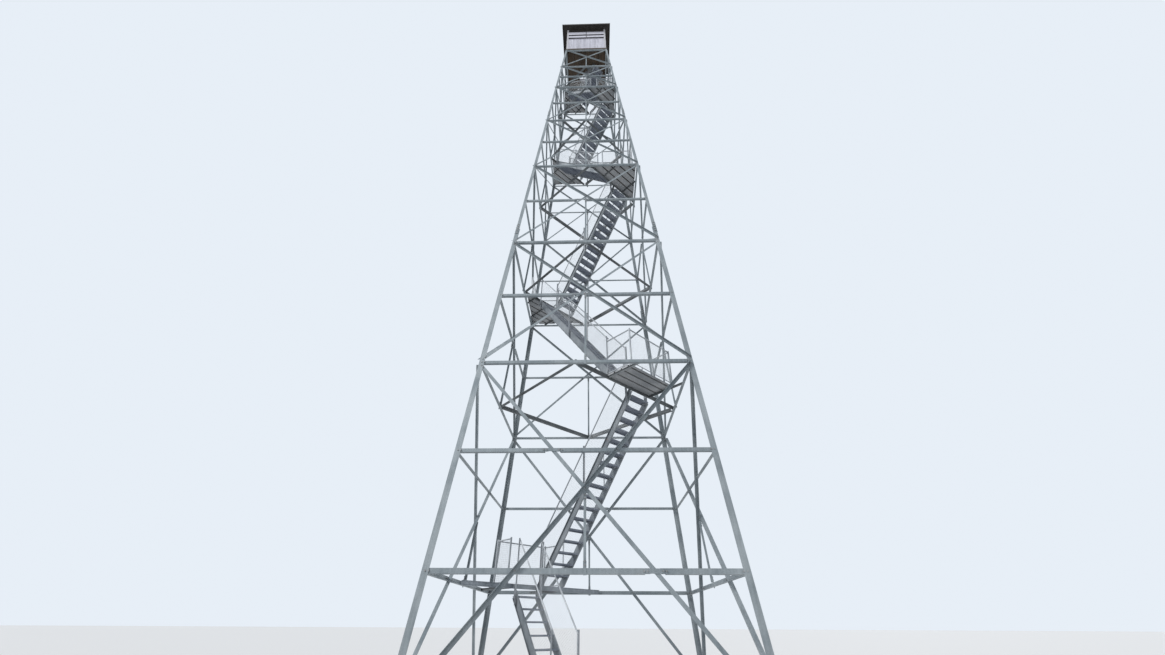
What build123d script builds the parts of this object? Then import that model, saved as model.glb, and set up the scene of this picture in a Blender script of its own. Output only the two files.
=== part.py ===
from build123d import *

import os
from math import acos, atan2, ceil, cos, hypot, sin, sqrt, tan

# A steel fire lookout tower: four leaning angle-iron legs, X-braced faces, stairs that climb from corner
# to corner, and a small wooden cab with a hipped roof. Millimetres; the origin is on the ground at the
# tower's axis, +Z is up and the front face looks along -Y.

# Overall form: the legs' outer faces stand cab_inset outside the cab's walls at the top, and lean out by
# lean for each mm on the way down. A rise is the height from one level of struts to the next.
cab_half = 1067.0       # from the axis to the outer faces of the cab's walls
cab_inset = 26.0
lean = 0.0722
low_rise, low_count = 2200.0, 5
mid_rise, mid_count = 2140.0, 2
high_rise, high_count = 1770.0, 2
upper_rise, upper_count = 1620.0, 2
top_rise, top_count = 1205.0, 2
cab_rise = 2188.0       # from the highest landing's level to the struts that carry the cab

# Steel sections: equal angles, width across one leg of the angle and thickness
low_leg = 127.0
mid_leg = 102.0
top_leg = 89.0
leg_t = 9.5
first_strut = 89.0
low_strut = 76.0
high_strut = 64.0
low_brace = 76.0
mid_brace = 64.0
top_brace = 51.0
hanger_w = 51.0
plan_w = 89.0
bar_t = 6.4
fit = 3.0               # room between bars that pass each other
seat_gap = 2.0          # room between a level bar's end and the strut's upright flange

# Leg lifts, splices and feet
splice_above = 620.0    # height of a splice over its level
splice_gap = 3.0
splice_len = 460.0
splice_t = 8.0
splice_edge = 8.0       # from the tower's corner to the edge of a splice plate
foot_w = 380.0
foot_t = 25.0
foot_edge = 55.0        # from the leg's outer face to the edge of the foot plate
anchor_r = 14.0
anchor_pitch = 280.0
brace_start = 150.0     # height of the lowest brace ends

# Plates between the bars
plate_lap = 70.0
plate_w = 60.0
tab_len = 110.0
plate_edge = 5.0

# Landings
beam_d = 100.0
beam_flange = 45.0
beam_t = 6.5
# Shares of the half width by which the landing beams stand past mid-strut, from the lowest landing up
beam_shifts = (0.10, 0.10, -0.08, -0.08, -0.08, -0.03, 0.10)
deck_t = 40.0
rib_pitch = 230.0
rib_gap = 45.0
rib_depth = 32.0
deck_edge = 8.0
bearer_w = 50.0
bearer_shares = (0.25, 0.68)    # where the bearers lie, as shares of the beam's half length
upper_bearer_shares = (0.42,)
oblong_count = 2        # number of oblong decks, from the lowest one up
long_deck = 755.0       # how far an oblong deck reaches out from its beam

# Stairs
tread_w = 660.0
top_tread_w = 560.0     # in the two highest flights, where the tower is narrow
tread_d = 230.0
tread_t = 5.0
tread_lip = 35.0
riser = 244.0
stringer_d = 180.0
stringer_flange = 40.0
stringer_t = 6.0
well_gap = 10.0         # from the tower's middle plane to a flight's nearest post
narrow_count = 2        # number of those flights
first_run = 1550.0      # how far the first flight runs over the ground
post_w = 40.0
post_t = 5.0
rail_r = 17.0
rail_h = 1000.0
first_rail_h = 1150.0   # handrails beside the first flight
guard_h = 1050.0
guard_post_r = 24.0
guard_edge = 34.0       # from the deck's edge to the middle of a guard post
foot_room = 190.0       # from a landing's beam to the end of its guard, clear of the stringers' feet
post_pitch = 1300.0     # handrail posts along a flight, measured level
post_foot = 20.0        # from the stringer's lower edge to the foot of a handrail post
head_space = 120.0      # from the head of a flight to its last handrail post
pipe_sides = 6
post_sides = 8

# Cab
joist_d = 90.0
joist_t = 45.0
joist_count = 5
floor_t = 40.0
wall_t = 40.0
wall_h = 1180.0
post_size = 90.0
sill_h = 34.0
sill_out = 20.0
window_h = 1130.0
header_h = 90.0
mullion_w = 60.0
low_board_h = 200.0
high_board_h = 300.0
low_board_z = 330.0     # middle of the lower board over the wall's top
high_board_z = 750.0
board_t = 22.0
board_gap = 30.0        # between the two boards of a row, in front of the mullion
eave_out = 273.0        # from the cab's walls to the eaves
ceiling_t = 25.0
fascia_h = 110.0
fascia_t = 25.0
roof_rise = 620.0
roof_t = 30.0
cap_half = 140.0        # half width of the square cap over the roof's point
cap_t = 8.0
tip_r = 30.0
tip_h = 120.0
hatch_side = 15.0       # from the last flight's side to the hatch's edge
trimmer_t = 38.0
head_room = 111.0       # from the rim joists to the trimmers' corners at the head of the last flight
hatch_room = 30.0       # and at the other end of the hatch

# Values that follow from those above
slope = hypot(1.0, lean)
rises = [low_rise] * low_count + [mid_rise] * mid_count + [high_rise] * high_count
rises += [upper_rise] * upper_count + [top_rise] * top_count + [cab_rise]
level = [sum(rises[:count]) for count in range(len(rises) + 1)]
splice_levels = (low_count, low_count + mid_count + high_count)
cab_level = len(level) - 1
leg_top_z = level[cab_level] + high_strut / 2 / slope
floor_z = leg_top_z + joist_d
floor_top = floor_z + floor_t
landings = list(range(1, cab_level, 2))
flight_count = len(landings) + 1
flight_side = stringer_flange + post_w
eave_half = cab_half + eave_out
root2 = sqrt(2.0)


def half(z):
    """Distance from the axis to the legs' outer faces at a height."""
    return cab_half + cab_inset + lean * (leg_top_z - z)


def strut_w(index):
    """Width of the horizontal strut at a level."""
    return first_strut if index == 1 else low_strut if index <= low_count else high_strut


def brace_w(low):
    """Width of the diagonal braces of the panel that starts at a level."""
    return low_brace if low == 0 else mid_brace if low <= low_count else top_brace


def prism(points, height, plane=Plane.XY):
    """A flat outline on a plane, raised by height."""
    return extrude(plane * make_face(Polyline(*points, close=True)), amount=height).solid()


def box(low, high):
    """A block between two corners."""
    size = [above - below for below, above in zip(low, high)]
    return (Pos(*low) * Box(*size, align=(Align.MIN,) * 3)).solid()


def turned(part, angle):
    """A part turned about the tower's axis."""
    return part.rotate(Axis.Z, angle)


def save(name, parts):
    """Write the solids of one named piece."""
    export_step(Compound(children=list(parts), label=name), f"parts/{name}.step")


# A face of the tower as a drawing plane: x across, y up the slope, z outwards
face_plane = Plane((0, -half(0), 0), x_dir=(1, 0, 0), z_dir=(0, -1, lean))
turns = {"front": 0, "right": 90, "back": 180, "left": 270}


def on_face(part, angle):
    """A part drawn on the face plane, put on the face that angle names."""
    return turned(face_plane.location * part, angle)


def flat_bar(start, end, left, right, seat, thick):
    """A strip along a line of the face plane, left and right of it, with its underside at seat."""
    along = Vector(end[0] - start[0], end[1] - start[1], 0)
    plane = Plane((start[0], start[1], seat), x_dir=along, z_dir=(0, 0, 1))
    return prism([(0, -right), (along.length, -right), (along.length, left), (0, left)], thick, plane)


def angle_bar(start, end, width, seat, out, heel, cope=0.0):
    """An angle bar flat against the plane at seat: out is the side that its other flange points to, heel
    the edge that carries it (+1 left, -1 right), cope how far that flange stops short of each end."""
    low = seat if out > 0 else seat - bar_t
    flat = flat_bar(start, end, width / 2, width / 2, low, bar_t)
    run = Vector(end[0] - start[0], end[1] - start[1], 0)
    step = run.normalized() * cope
    first = (start[0] + step.X, start[1] + step.Y)
    last = (end[0] - step.X, end[1] - step.Y)
    left, right = (width / 2, bar_t - width / 2) if heel > 0 else (bar_t - width / 2, width / 2)
    low = seat if out > 0 else seat - width
    return (flat + flat_bar(first, last, left, right, low, width)).solid()


# Panels of X-bracing, each from one level to another
panel_ends = [0] + landings[1:] + [cab_level]
panels = list(zip(panel_ends, panel_ends[1:]))
corner_room = leg_t + bar_t + fit


def hand(low):
    """Side to which a panel's outer brace rises: +1 for +x."""
    return 1 if low == 0 else -1


def brace_ends(low, high):
    """Lower and upper end of a panel's right-hand brace line on the face plane, and its angle."""
    width = brace_w(low)
    foot = brace_start * slope if low == 0 else level[low] * slope + strut_w(low) / 2 + fit
    head = level[high] * slope - strut_w(high) / 2 - fit
    angle = atan2(head - foot, half(level[low]) + half(level[high]))
    foot += width / 2 * cos(angle)
    head -= width / 2 * cos(angle)
    x_foot = half(foot / slope) - corner_room - width / 2 * sin(angle)
    x_head = half(head / slope) - corner_room - width / 2 * sin(angle)
    return (x_foot, foot), (x_head, head), atan2(head - foot, x_foot + x_head)


def crossing(low, high):
    """Height up the face plane at which a panel's two braces cross."""
    (x_foot, foot), (x_head, head), _ = brace_ends(low, high)
    return foot + (head - foot) * x_foot / (x_foot + x_head)


def panel_of(index):
    """The panel whose braces pass a level's strut, or None."""
    return next(((low, high) for low, high in panels if low < index < high), None)


def brace_x(low, high, at):
    """Distance from the middle to either brace line of a panel at a height up the face plane."""
    (x_foot, foot), _, angle = brace_ends(low, high)
    return x_foot - (at - foot) / tan(angle)


def inner_cut(index):
    """Where a strut is cut to let the inner brace through: two x values, or None."""
    panel = panel_of(index)
    if panel is None:
        return None
    at = level[index] * slope
    angle = brace_ends(*panel)[2]
    middle = hand(panel[0]) * brace_x(*panel, at)
    room = brace_w(panel[0]) / 2 / sin(angle) + strut_w(index) / 2 / tan(angle) + fit
    return middle - room, middle + room


def strut_pieces(index):
    """The strut of one level, with its upright flange inside the legs and its lower flange pointing in."""
    width = strut_w(index)
    at = level[index] * slope
    reach = half(level[index] + width / 2) - corner_room
    cope = max(width, brace_w(max(0, index - 1))) - bar_t
    cut = inner_cut(index)
    if cut is None:
        return [angle_bar((-reach, at), (reach, at), width, -leg_t, -1, -1, cope)]
    left = angle_bar((-reach, at), (cut[0], at), width, -leg_t, -1, -1, cope)
    right = angle_bar((cut[1], at), (reach, at), width, -leg_t, -1, -1, cope)
    return [left, right]


def hanger_line(low, high):
    """Lower and upper end, up the face plane, of a panel's middle hanger."""
    angle = brace_ends(low, high)[2]
    under = [index for index in range(low + 1, high) if level[index] * slope < crossing(low, high)]
    if low == 0:
        base = level[under[-1]] * slope + strut_w(under[-1]) / 2 + fit
    else:
        base = level[low] * slope + strut_w(low) / 2 + fit
    if low != 0 and under:
        top = level[under[-1]] * slope - strut_w(under[-1]) / 2 - fit
    else:
        top = crossing(low, high) - brace_w(low) / 2 / cos(angle) - hanger_w / 2 * tan(angle) - fit
    return base, top


def hanger(low, high):
    """The upright bar in the middle of a panel."""
    base, top = hanger_line(low, high)
    return angle_bar((0, base), (0, top), hanger_w, -leg_t, -1, 1)


def braces(low, high):
    """A panel's two braces: one outside the legs, one inside."""
    foot, head, angle = brace_ends(low, high)
    width = brace_w(low)
    cope = (max(width, strut_w(max(1, low)), strut_w(high)) - bar_t) / cos(angle)
    side = hand(low)
    outer = angle_bar((-side * foot[0], foot[1]), (side * head[0], head[1]), width, 0, 1, side)
    inner = angle_bar((side * foot[0], foot[1]), (-side * head[0], head[1]), width, -leg_t, -1, -side, cope)
    return [outer, inner]


def plates():
    """Joint plates that lie in the thickness of the legs' flanges, between outer and inner bars."""
    outline = Sketch()
    for low, high in panels:
        middle = crossing(low, high)
        base, top = hanger_line(low, high)
        outline += Pos(0, middle) * Rectangle(plate_w, plate_w)
        outline += Pos(0, base - fit) * Rectangle(plate_w, 2 * tab_len)
        if top > level[high - 1] * slope or low in (0, cab_level - 1):
            outline += Pos(0, (middle + top - tab_len) / 2) * Rectangle(plate_w, middle - top + tab_len)
        else:
            outline += Pos(0, top + fit) * Rectangle(plate_w, 2 * tab_len)
    for index in range(1, cab_level):
        cut = inner_cut(index)
        if cut is None:
            continue
        at = level[index] * slope
        height = strut_w(index) - 2 * plate_edge
        outline += Pos((cut[0] + cut[1]) / 2, at) * Rectangle(cut[1] - cut[0] + 2 * plate_lap, height)
        panel = panel_of(index)
        outline += Pos(-hand(panel[0]) * brace_x(*panel, at), at) * Rectangle(plate_w, height)
    return extrude(outline, amount=-leg_t).solids()


def leg():
    """The front-left leg in its lifts: a level L section carried up along the lean."""
    joints = [level[index] + splice_above for index in splice_levels]
    lifts = [(foot_t, joints[0] - splice_gap, low_leg), (joints[0], joints[1] - splice_gap, mid_leg),
             (joints[1], leg_top_z, top_leg)]
    wall = leg_t * slope
    pieces = []
    for low, high, width in lifts:
        corner = -half(low)
        outline = [(0, 0), (width, 0), (width, wall), (wall, wall), (wall, width), (0, width)]
        ring = Polyline(*[(corner + x, corner + y, low) for x, y in outline], close=True)
        rise = high - low
        pieces.append(Solid.extrude(make_face(ring).face(), Vector(lean * rise, lean * rise, rise)))
    return pieces


def splice_plates():
    """Cover plates over the leg joints, on both outer faces of every leg."""
    pieces = []
    for index, width in zip(splice_levels, (mid_leg, top_leg)):
        at = (level[index] + splice_above) * slope
        for side in (-1, 1):
            low = half((at - splice_len / 2) / slope) - splice_edge
            high = half((at + splice_len / 2) / slope) - splice_edge
            inner = width - 2 * splice_edge
            bottom, top = at - splice_len / 2, at + splice_len / 2
            outline = [(side * low, bottom), (side * high, top), (side * (high - inner), top),
                       (side * (low - inner), bottom)]
            pieces.append(prism(outline[::side], splice_t))
    return [on_face(plate, angle) for angle in turns.values() for plate in pieces]


def foot_plate():
    """The front-left foot plate with its four anchor holes."""
    edge = -half(0) - foot_edge
    middle = edge + foot_w / 2
    holes = [Pos(middle + x, middle + y, foot_t / 2) * Cylinder(anchor_r, foot_t)
             for x in (-anchor_pitch / 2, anchor_pitch / 2) for y in (-anchor_pitch / 2, anchor_pitch / 2)]
    return (box((edge, edge, 0), (edge + foot_w, edge + foot_w, foot_t)) - holes).solid()


def seat_z(index):
    """Height of the strut's lower flange just inside its upright flange."""
    depth = leg_t + bar_t + seat_gap
    return (level[index] * slope - strut_w(index) / 2 + bar_t - lean * depth) / slope


def inside(index, height):
    """Half width left between the struts of a level for bars that reach this height over their seat."""
    return half(seat_z(index) + height) - (leg_t + bar_t) * slope - seat_gap


def beam_shift(index):
    """How far a landing's beam stands past mid-strut, towards the opposite corner."""
    return half(level[index]) * beam_shifts[landings.index(index)]


def beam_u(index):
    """Distance from the axis to the outer face of a landing's beam."""
    return (half(level[index]) - beam_shift(index)) / root2


def deck_top(index):
    """Walking height of a landing."""
    return seat_z(index) + beam_d


def corner_side(index):
    """Turn that carries a piece drawn along +X to its landing's corner of the tower."""
    return -45 if index % 4 == 3 else 135


def landing_beam(index):
    """The channel that crosses the corner, with its flanges towards the tower's axis."""
    web = beam_u(index)
    reach = root2 * inside(index, beam_d) - web
    low = seat_z(index)
    outline = [(web, low), (web, low + beam_d), (web - beam_flange, low + beam_d),
               (web - beam_flange, low + beam_d - beam_t), (web - beam_t, low + beam_d - beam_t),
               (web - beam_t, low + beam_t), (web - beam_flange, low + beam_t), (web - beam_flange, low)]
    plane = Plane((0, -reach, 0), x_dir=(1, 0, 0), z_dir=(0, -1, 0))
    channel = prism(outline, -2 * reach, plane)
    return turned(channel, corner_side(index))


def plan_bars(index):
    """The three level angles that complete a landing's diamond from strut to strut."""
    low = seat_z(index)
    reach = inside(index, plan_w)
    shift = beam_shift(index)
    clear = beam_flange / root2 + fit
    corners = [((-shift, -reach), (-reach, 0)), ((-reach, 0), (0, reach)), ((0, reach), (reach, shift))]
    limits = [((-reach, -reach), (-shift - clear, -fit)), ((-reach, fit), (-fit, reach)),
              ((fit, shift + clear), (reach, reach))]
    pieces = []
    for (start, end), (near, far) in zip(corners, limits):
        along = Vector(end[0] - start[0], end[1] - start[1], 0)
        plane = Plane((start[0], start[1], low), x_dir=along, z_dir=(0, 0, 1))
        width = plan_w / 2
        outline = [(-plan_w, -width), (along.length + plan_w, -width), (along.length + plan_w, width),
                   (-plan_w, width)]
        rib = [(-plan_w, -width), (along.length + plan_w, -width), (along.length + plan_w, bar_t - width),
               (-plan_w, bar_t - width)]
        bar = prism(outline, bar_t, plane) + prism(rib, plan_w, plane)
        bar = bar & box((*near, low), (*far, low + plan_w))
        pieces.append(turned(bar.solid(), 0 if corner_side(index) == -45 else 180))
    return pieces


def is_oblong(index):
    """Whether a landing's deck is oblong: the others are triangles that fill the tower's corner."""
    return index in landings[:oblong_count]


def oblong_side():
    """Distance from the middle plane to the side rails of an oblong deck: just outside the newel."""
    return stair_edge(1) - post_w + post_t + rail_r


def deck_outline(index):
    """Outline of a landing's deck, drawn with its corner of the tower along +X."""
    inner = beam_u(index)
    widest = max(brace_w(max(0, index - 2)), strut_w(index))
    corner = root2 * (half(deck_top(index)) - (leg_t + widest) * slope - deck_edge)
    if is_oblong(index):
        outer = inner + long_deck
        side = oblong_side() + guard_post_r
        return [(inner, -side), (outer, -side), (outer, side), (inner, side)]
    reach = corner - inner
    return [(inner, -reach), (corner, 0), (inner, reach)]


def landing_deck(index):
    """A deck of pressed steel planks laid parallel to the beam: a plate with grooves between its ribs."""
    outline = deck_outline(index)
    top = deck_top(index)
    slab = prism(outline, deck_t, Plane((0, 0, top - deck_t)))
    inner = outline[0][0]
    outer = max(u for u, _ in outline)
    reach = max(v for _, v in outline)
    low = top - deck_t
    for count in range(1, ceil((outer - inner) / rib_pitch)):
        near = inner + count * rib_pitch - rib_gap / 2
        slab -= box((near, -reach, low), (near + rib_gap, reach, low + rib_depth))
    return turned(slab.solid(), corner_side(index))


def bearers(index):
    """Angles under a deck, from the web of its beam out to the struts."""
    inner = beam_u(index)
    low = seat_z(index)
    height = beam_d - deck_t
    high = low + height
    reach = root2 * inside(index, height) - inner
    if is_oblong(index):
        shares = [(oblong_side() + guard_post_r - bearer_w / 2) / reach]
    else:
        shares = bearer_shares if index <= low_count else upper_bearer_shares
    pieces = []
    for share in shares:
        for side in (-1, 1):
            v = side * share * reach
            end = root2 * inside(index, height) - abs(v) - bearer_w / 2
            flat = box((inner, v - bearer_w / 2, high - bar_t), (end, v + bearer_w / 2, high))
            rib = box((inner, v - bar_t / 2, low), (end, v + bar_t / 2, high))
            pieces.append(turned((flat + rib).solid(), corner_side(index)))
    return pieces


def flight_w(number):
    """Width of a flight's treads."""
    return top_tread_w if number > flight_count - narrow_count else tread_w


def stair_edge(number):
    """Distance from the tower's middle plane to the far side of a flight."""
    return well_gap + flight_w(number) + 2 * flight_side


# The hatch lies along the last flight, between limits u_near and u_far and from v_near to v_far across them
v_near = well_gap - hatch_side
v_far = stair_edge(flight_count) + hatch_side
u_reach = root2 * (half(leg_top_z) - joist_t) - v_far - 2 * trimmer_t
u_near = hatch_room - u_reach
u_far = u_reach - head_room


class Flight:
    """One straight flight, drawn as it rises along +X on the left of the tower's middle plane."""

    def __init__(self, number):
        self.number = number
        self.width = flight_w(number)
        self.rail_h = first_rail_h if number == 1 else rail_h
        self.middle = well_gap + flight_side + self.width / 2
        below, above = 2 * number - 3, 2 * number - 1
        self.base_z = deck_top(below) if number > 1 else 0.0
        self.top_z = deck_top(above) if above in landings else floor_top
        self.end = beam_u(above) - beam_flange if above in landings else u_far
        self.start = -beam_u(below) if number > 1 else self.end - first_run
        self.turn = -45 if number % 2 == 0 else 135
        rise, run = self.top_z - self.base_z, self.end - self.start
        self.angle = acos(stringer_d / 2 / hypot(rise, run)) - atan2(run, rise)
        self.steps = round(rise / riser)

    def edge_z(self, t):
        """Height of the stringers' upper edge."""
        return self.top_z - (self.end - t) * tan(self.angle)

    def placed(self, part):
        return turned(part, self.turn)

    def drawn(self, outline, y, depth):
        """An outline in the flight's own upright plane, from y on by depth."""
        return prism(outline, -depth, Plane((0, y, 0), x_dir=(1, 0, 0), z_dir=(0, -1, 0)))

    def stringer(self, side):
        """A channel with its web to the treads, cut level at the foot and upright at the head."""
        foot = self.start - stringer_d / 2 / sin(self.angle)
        long = stringer_d / sin(self.angle)
        tall = stringer_d / cos(self.angle)
        thin = stringer_t / sin(self.angle)
        low = stringer_t / cos(self.angle)
        web = [(foot, self.base_z), (foot + long, self.base_z), (self.end, self.top_z - tall),
               (self.end, self.top_z)]
        upper = [web[0], (foot + thin, self.base_z), (self.end, self.top_z - low), web[3]]
        lower = [(foot + long - thin, self.base_z), web[1], web[2], (self.end, self.top_z - tall + low)]
        face = self.middle + side * self.width / 2
        channel = self.drawn(web, face, side * stringer_t)
        channel += self.drawn(upper, face, side * stringer_flange)
        channel += self.drawn(lower, face, side * stringer_flange)
        return self.placed(channel.solid())

    def treads(self):
        """Folded steel treads with a lip down at the front and back, between the stringers."""
        pieces = []
        rise = (self.top_z - self.base_z) / self.steps
        inset = (stringer_d / sin(self.angle) - tread_d) / 2
        for count in range(1, self.steps):
            z = self.base_z + count * rise
            front = self.end - (self.top_z - z) / tan(self.angle) + inset
            back = front + tread_d
            outline = [(front, z), (back, z), (back, z - tread_lip), (back - tread_t, z - tread_lip),
                       (back - tread_t, z - tread_t), (front + tread_t, z - tread_t),
                       (front + tread_t, z - tread_lip), (front, z - tread_lip)]
            pieces.append(self.placed(self.drawn(outline, self.middle - self.width / 2, self.width)))
        return pieces

    def post_places(self):
        """Where the handrail posts stand along the flight, and how far along it they are apart."""
        first = self.start + post_w
        last = self.end - head_space
        count = max(2, round((last - first) / post_pitch) + 1)
        return [first + (last - first) * k / (count - 1) for k in range(count)]

    def rail_posts(self):
        """Angle posts bolted to the outer edges of the stringers' flanges."""
        pieces = []
        for side in (-1, 1):
            face = self.middle + side * (self.width / 2 + stringer_flange)
            for t in self.post_places():
                foot = max(self.edge_z(t) - stringer_d / cos(self.angle) + post_foot, self.base_z)
                top = self.edge_z(t) + self.rail_h
                ends = sorted((face, face + side * post_t))
                flat = box((t - post_w / 2, ends[0], foot), (t + post_w / 2, ends[1], top))
                ends = sorted((face, face + side * post_w))
                rib = box((t - post_w / 2, ends[0], foot), (t - post_w / 2 + post_t, ends[1], top))
                pieces.append(self.placed((flat + rib).solid()))
        return pieces

    def rails(self):
        """A pipe on the inner faces of the posts, along each side."""
        pieces = []
        places = self.post_places()
        height = self.rail_h - 2 * rail_r
        for side in (-1, 1):
            y = self.middle + side * (self.width / 2 + stringer_flange - rail_r)
            low = Vector(places[0] - post_w, y, self.edge_z(places[0] - post_w) + height)
            high = Vector(places[-1] + post_w, y, self.edge_z(places[-1] + post_w) + height)
            pieces.append(self.placed(pipe(low, high, rail_r)))
        return pieces


def pipe(start, end, radius):
    """A pipe from one point to another, with few sides: each of them lies at radius from its middle."""
    along = Vector(end) - Vector(start)
    ring = Plane(start, z_dir=along) * RegularPolygon(radius, pipe_sides, major_radius=False)
    return extrude(ring, amount=along.length).solid()


def guard_post(u, v, foot, height):
    """A landing's guard post, with a flat side towards each rail."""
    ring = RegularPolygon(guard_post_r, post_sides, major_radius=False, rotation=180 / post_sides)
    return extrude(Pos(u, v, foot) * ring, amount=height).solid()


def guard_lines(index):
    """Corners of a landing's guard rails, drawn with its corner of the tower along +X."""
    outline = deck_outline(index)
    inner = outline[0][0]
    if is_oblong(index):
        outer = inner + long_deck + guard_post_r
        side = oblong_side()
        newel = inner - post_w / 2
        return [(newel, -side), (outer, -side), (outer, side), (inner + foot_room, side)]
    tip = outline[1][0] - (guard_edge + lean * guard_h) * root2
    near = inner + foot_room
    return [(near, near - tip), (tip, 0), (near, tip - near)]


def landing_guard(index):
    """Posts and a top rail round a landing. An oblong deck's rail starts at the leaving flight's newel,
    and its corner posts stand against the deck's outer edge."""
    posts, rails = [], []
    edge = max(u for u, _ in deck_outline(index))
    top = deck_top(index)
    places = guard_lines(index)
    for u, v in places[1:] if is_oblong(index) else places:
        drop = deck_t if u > edge else 0.0
        posts.append(turned(guard_post(u, v, top - drop, guard_h + drop), corner_side(index)))
    at = top + guard_h - 2 * rail_r
    for start, end in zip(places, places[1:]):
        step = Vector(end[0] - start[0], end[1] - start[1], 0).normalized() * guard_post_r
        low = Vector(*start, at)
        if start != places[0] or not is_oblong(index):
            low += step
        rails.append(turned(pipe(low, Vector(*end, at) - step, rail_r), corner_side(index)))
    return posts, rails


def hatch_box(grow, low, high):
    """The hatch's block of space along the last flight, larger by grow on each side."""
    return turned(box((u_near - grow, v_near - grow, low), (u_far + grow, v_far + grow, high)), -45)


def cab_frame():
    """Rim joists on the legs and struts, joists between them, and the trimmers round the hatch."""
    edge = half(leg_top_z)
    low, high = leg_top_z, floor_z
    rims = [box((-edge, -edge, low), (edge, joist_t - edge, high)),
            box((-edge, edge - joist_t, low), (edge, edge, high))]
    trimmers = (hatch_box(trimmer_t, low, high) - hatch_box(0, low, high)).solid()
    joists = []
    span = 2 * edge - joist_t
    for count in range(joist_count + 2):
        x = -edge + joist_t / 2 + span * count / (joist_count + 1)
        joist = box((x - joist_t / 2, joist_t - edge, low), (x + joist_t / 2, edge - joist_t, high))
        joist -= hatch_box(trimmer_t, low, high)
        joists += [piece for piece in joist.solids() if piece.volume > joist_t * joist_t * joist_d]
    return rims, joists, trimmers


def cab_floor():
    """The board floor, with the hatch cut through it."""
    edge = half(leg_top_z)
    sheet = box((-edge, -edge, floor_z), (edge, edge, floor_top))
    return (sheet - hatch_box(0, floor_z, floor_top)).solid()


def cab_side(parts):
    """Pieces of the front side of the cab, copied to all four sides."""
    return {name: [turned(part, angle) for part in parts] for name, angle in turns.items()}


wall_top = floor_top + wall_h
sill_top = wall_top + sill_h
header_z = sill_top + window_h
ceiling_z = header_z + header_h
roof_z = ceiling_z + ceiling_t
bay = cab_half - post_size


def cab_wall():
    """The front lower wall between the corner posts."""
    return box((-bay, -cab_half, floor_top), (bay, wall_t - cab_half, wall_top))


def cab_sill():
    """The front window sill on the lower wall."""
    return box((-bay, -cab_half - sill_out, wall_top), (bay, wall_t - cab_half, sill_top))


def cab_boards():
    """The two rows of boards across the front window opening."""
    pieces = []
    for middle, height in ((low_board_z, low_board_h), (high_board_z, high_board_h)):
        low, high = sill_top + middle - height / 2, sill_top + middle + height / 2
        for near, far in ((-bay, -board_gap / 2), (board_gap / 2, bay)):
            pieces.append(box((near, -cab_half, low), (far, board_t - cab_half, high)))
    return pieces


def cab_mullion():
    """The post in the middle of the front window, behind the boards."""
    near = board_t - cab_half
    return box((-mullion_w / 2, near, sill_top), (mullion_w / 2, near + mullion_w, header_z))


def cab_header():
    """The front header that carries the roof, from corner post to corner post."""
    return box((-bay, -cab_half, header_z), (bay, post_size - cab_half, ceiling_z))


def cab_posts():
    """The four corner posts."""
    post = box((-cab_half, -cab_half, floor_top), (-bay, -bay, ceiling_z))
    return [turned(post, angle) for angle in turns.values()]


def pyramid(half_width, low, rise):
    """A square pyramid: what two crossed tent shapes share."""
    plane = Plane((0, half_width, low), x_dir=(1, 0, 0), z_dir=(0, -1, 0))
    tent = prism([(-half_width, 0), (half_width, 0), (0, rise)], 2 * half_width, plane)
    return tent & turned(tent, 90)


def roof():
    """The hipped roof: a thin shell of four slopes that meet at the top."""
    inner = eave_half - roof_t * hypot(roof_rise, eave_half) / roof_rise
    inner_rise = roof_rise * inner / eave_half
    return (pyramid(eave_half, roof_z, roof_rise) - pyramid(inner, roof_z, inner_rise)).solid()


def fascia():
    """Boards round the edge of the ceiling, under the roof's eaves."""
    outer = eave_half - fascia_t
    low = roof_z - fascia_h
    ring = box((-eave_half, -eave_half, low), (eave_half, eave_half, roof_z))
    return (ring - box((-outer, -outer, low), (outer, outer, roof_z))).solid()


def ceiling():
    """The ceiling and soffit in one sheet of boards."""
    edge = eave_half - fascia_t
    return box((-edge, -edge, ceiling_z), (edge, edge, roof_z))


def roof_cap():
    """The square cap that is folded over the point of the roof, with a short rod on it."""
    point = roof_z + roof_rise
    cap_rise = cap_half * roof_rise / eave_half
    low = point - cap_rise
    edge = box((-cap_half, -cap_half, low), (cap_half, cap_half, low + cap_t))
    cover = pyramid(cap_half, low + cap_t, cap_rise)
    rod = pipe((0, 0, point), (0, 0, point + tip_h), tip_r)
    return (cover + edge + rod - pyramid(eave_half, roof_z, roof_rise)).solid()


os.makedirs("parts", exist_ok=True)

legs = leg()
for name, angle in {"front_left": 0, "front_right": 90, "back_right": 180, "back_left": 270}.items():
    save(f"leg_{name}", [turned(piece, angle) for piece in legs])
save("foot_plates", [turned(foot_plate(), angle) for angle in turns.values()])
save("splice_plates", splice_plates())

strut_parts = [piece for index in range(1, cab_level + 1) for piece in strut_pieces(index)]
strut_parts += [hanger(low, high) for low, high in panels]
brace_parts = [piece for low, high in panels for piece in braces(low, high)]
plate_parts = plates()
for name, angle in turns.items():
    save(f"{name}_struts", [on_face(piece, angle) for piece in strut_parts])
    save(f"{name}_braces", [on_face(piece, angle) for piece in brace_parts])
    save(f"{name}_plates", [on_face(piece, angle) for piece in plate_parts])

save("landing_beams", [landing_beam(index) for index in landings])
save("plan_bracing", [piece for index in landings[1:] for piece in plan_bars(index)])
save("landing_bearers", [piece for index in landings for piece in bearers(index)])
save("landing_decks", [landing_deck(index) for index in landings])
guards = [landing_guard(index) for index in landings]
save("guard_posts", [piece for posts, _ in guards for piece in posts])
save("guard_rails", [piece for _, rails in guards for piece in rails])

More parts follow.
